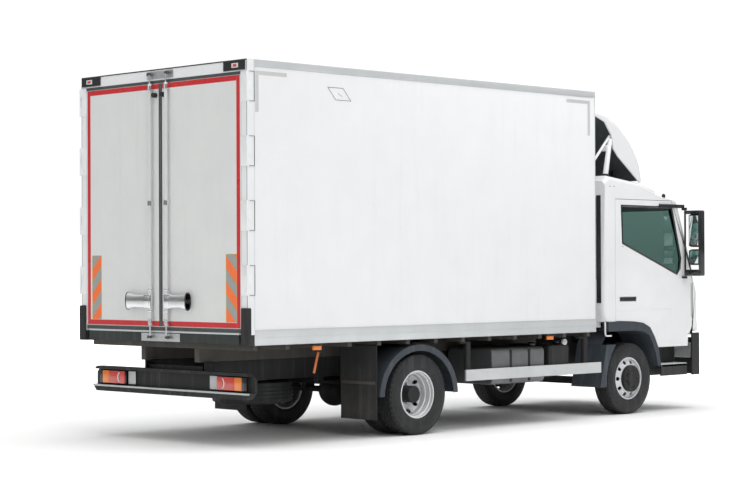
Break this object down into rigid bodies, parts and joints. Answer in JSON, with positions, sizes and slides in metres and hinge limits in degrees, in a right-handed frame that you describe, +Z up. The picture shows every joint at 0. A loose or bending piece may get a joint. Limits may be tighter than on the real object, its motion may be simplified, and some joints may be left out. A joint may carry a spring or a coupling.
{
  "type": "mail delivery truck",
  "caption": "White two-axle mail truck with a tilting cab, roof spoiler, panelled cargo box and rear double doors locked by full-height rods with horn handles.",
  "frame": {"origin": "on the ground, under the middle of the whole truck", "axes": "+X forward, +Y to the truck's left, +Z up"},
  "size_m": [7.009, 2.47, 3.4099],
  "materials": {
    "body_white": "smooth white cab paint, a little road dust low down",
    "panel_white": "white coated composite panel, satin",
    "chassis_black": "near-black chassis paint with dust",
    "bearer_grey": "brown-grey primed steel and plywood",
    "aluminium": "drawn aluminium profile, dulled",
    "galvanised": "galvanised steel with fine spangle",
    "rubber": "moulded rubber, matte",
    "tyre": "tyre rubber, dusty sidewall",
    "rim_silver": "silver lacquered wheel steel with brake dust",
    "arch_plastic": "blue-grey grained plastic",
    "black_plastic": "black grained plastic",
    "tinted_glass": "green-tinted safety glass",
    "lamp_red": "red lamp lens",
    "lamp_orange": "orange lamp lens",
    "seat_fabric": "woven seat cloth, dark grey",
    "dash_plastic": "soft-grained interior plastic",
    "cast_iron": "sand-cast iron, oily"
  },
  "bodies": {
    "chassis": {"chassis_rails": "chassis_black", "cross_members": "chassis_black", "subframe_bearers": "bearer_grey", "cab_mounts": "chassis_black", "leaf_springs": "chassis_black", "front_axle_beam": "chassis_black", "rear_axle_housing": "chassis_black", "engine_and_gearbox": "cast_iron", "fuel_tank": "aluminium", "battery_box": "black_plastic", "exhaust": "galvanised", "box_floor": "bearer_grey", "box_panels": "panel_white", "box_edge_rails": "aluminium", "rear_portal": "panel_white", "corner_buffers": "rubber", "marker_lamps": "lamp_orange", "underrun_bar": "chassis_black", "tail_lamps": "lamp_red", "side_guards": "aluminium", "rear_mudguards": "arch_plastic", "spare_wheel": "tyre", "front_bumper": "arch_plastic", "headlamps": "tinted_glass"},
    "propshaft": {"propshaft": "chassis_black"},
    "cab": {"cab_shell": "body_white", "cab_glass": "tinted_glass", "cab_floor": "chassis_black", "wheel_arches": "arch_plastic", "cab_steps": "black_plastic", "dashboard": "dash_plastic", "seats": "seat_fabric", "roof_spoiler": "body_white"},
    "steering_wheel": {"steering_wheel": "black_plastic"},
    "rear_door_left": {"rear_door_left": "panel_white", "door_hinges_left": "galvanised"},
    "lock_left": {"lock_rod_left": "galvanised"},
    "knuckle_left": {"steering_knuckle_left": "cast_iron"},
    "front_wheel_left": {"front_tyre_left": "tyre", "front_rim_left": "rim_silver"},
    "rear_wheels_left": {"rear_tyres_left": "tyre", "rear_rims_left": "rim_silver"},
    "cab_door_left": {"cab_door_left": "body_white", "door_glass_left": "tinted_glass"},
    "door_handle_left": {"door_handle_left": "black_plastic"},
    "mirror_left": {"mirror_left": "black_plastic"},
    "wiper_left": {"wiper_left": "black_plastic"},
    "rear_door_right": {"rear_door_right": "panel_white", "door_hinges_right": "galvanised"},
    "lock_right": {"lock_rod_right": "galvanised"},
    "knuckle_right": {"steering_knuckle_right": "cast_iron"},
    "front_wheel_right": {"front_tyre_right": "tyre", "front_rim_right": "rim_silver"},
    "rear_wheels_right": {"rear_tyres_right": "tyre", "rear_rims_right": "rim_silver"},
    "cab_door_right": {"cab_door_right": "body_white", "door_glass_right": "tinted_glass"},
    "door_handle_right": {"door_handle_right": "black_plastic"},
    "mirror_right": {"mirror_right": "black_plastic"},
    "wiper_right": {"wiper_right": "black_plastic"}
  },
  "joints": [
    {"name": "cab_tilt", "type": "hinge", "parent": "chassis", "child": "cab", "pos_m": [3.3795, 0, 0.82], "axis": [0, 1, 0], "range_deg": [0, 45]},
    {"name": "rear_door_left_hinge", "type": "hinge", "parent": "chassis", "child": "rear_door_left", "pos_m": [-3.4385, 1.208, 2.1], "axis": [0, 0, -1], "range_deg": [0, 250]},
    {"name": "lock_left_turn", "type": "hinge", "parent": "rear_door_left", "child": "lock_left", "pos_m": [-3.4605, 0.117, 1.29], "axis": [0, 0, 1], "range_deg": [0, 95]},
    {"name": "knuckle_left_steer", "type": "hinge", "parent": "chassis", "child": "knuckle_left", "pos_m": [2.2035, 0.735, 0.3835], "axis": [0, 0, 1], "range_deg": [-32, 32]},
    {"name": "front_wheel_left_spin", "type": "hinge", "parent": "knuckle_left", "child": "front_wheel_left", "pos_m": [2.2035, 0.8875, 0.3835], "axis": [0, 1, 0], "continuous": true},
    {"name": "rear_wheels_left_spin", "type": "hinge", "parent": "chassis", "child": "rear_wheels_left", "pos_m": [-1.2485, 0.929, 0.3835], "axis": [0, 1, 0], "continuous": true},
    {"name": "cab_door_left_hinge", "type": "hinge", "parent": "cab", "child": "cab_door_left", "pos_m": [3.2745, 0.988, 1.5], "axis": [0, 0, -1], "range_deg": [0, 70]},
    {"name": "door_handle_left_pull", "type": "hinge", "parent": "cab_door_left", "child": "door_handle_left", "pos_m": [2.1705, 0.991, 1.25], "axis": [1, 0, 0], "range_deg": [0, 30], "stiffness_Nm_per_rad": 1.5},
    {"name": "mirror_left_fold", "type": "hinge", "parent": "cab_door_left", "child": "mirror_left", "pos_m": [3.1495, 1.038, 1.85], "axis": [0, 0, 1], "range_deg": [-30, 70]},
    {"name": "rear_door_right_hinge", "type": "hinge", "parent": "chassis", "child": "rear_door_right", "pos_m": [-3.4385, -1.208, 2.1], "axis": [0, 0, 1], "range_deg": [0, 250]},
    {"name": "lock_right_turn", "type": "hinge", "parent": "rear_door_right", "child": "lock_right", "pos_m": [-3.4605, -0.117, 1.29], "axis": [0, 0, -1], "range_deg": [0, 95]},
    {"name": "knuckle_right_steer", "type": "hinge", "parent": "chassis", "child": "knuckle_right", "pos_m": [2.2035, -0.735, 0.3835], "axis": [0, 0, 1], "range_deg": [-32, 32]},
    {"name": "front_wheel_right_spin", "type": "hinge", "parent": "knuckle_right", "child": "front_wheel_right", "pos_m": [2.2035, -0.8875, 0.3835], "axis": [0, 1, 0], "continuous": true},
    {"name": "rear_wheels_right_spin", "type": "hinge", "parent": "chassis", "child": "rear_wheels_right", "pos_m": [-1.2485, -0.929, 0.3835], "axis": [0, 1, 0], "continuous": true},
    {"name": "cab_door_right_hinge", "type": "hinge", "parent": "cab", "child": "cab_door_right", "pos_m": [3.2745, -0.988, 1.5], "axis": [0, 0, 1], "range_deg": [0, 70]},
    {"name": "door_handle_right_pull", "type": "hinge", "parent": "cab_door_right", "child": "door_handle_right", "pos_m": [2.1705, -0.991, 1.25], "axis": [-1, 0, 0], "range_deg": [0, 30], "stiffness_Nm_per_rad": 1.5},
    {"name": "mirror_right_fold", "type": "hinge", "parent": "cab_door_right", "child": "mirror_right", "pos_m": [3.1495, -1.038, 1.85], "axis": [0, 0, -1], "range_deg": [-30, 70]},
    {"name": "wiper_left_sweep", "type": "hinge", "parent": "cab", "child": "wiper_left", "pos_m": [3.37412, 0.62, 1.51115], "axis": [-0.9307, 0, -0.3658], "range_deg": [0, 85]},
    {"name": "wiper_right_sweep", "type": "hinge", "parent": "cab", "child": "wiper_right", "pos_m": [3.37412, -0.12, 1.51115], "axis": [-0.9307, 0, -0.3658], "range_deg": [0, 85]},
    {"name": "steering_wheel_turn", "type": "hinge", "parent": "cab", "child": "steering_wheel", "pos_m": [2.8795, 0.47, 1.6], "axis": [-0.5736, 0, 0.8192], "range_deg": [-520, 520]},
    {"name": "propshaft_spin", "type": "hinge", "parent": "chassis", "child": "propshaft", "pos_m": [-1.0285, 0, 0.4195], "axis": [0.9982, 0, 0.0596], "continuous": true}
  ],
  "couplings": [
    {"joint": "knuckle_right_steer", "follows": "knuckle_left_steer", "ratio": 1},
    {"joint": "steering_wheel_turn", "follows": "knuckle_left_steer", "ratio": 16},
    {"joint": "wiper_right_sweep", "follows": "wiper_left_sweep", "ratio": 1}
  ]
}
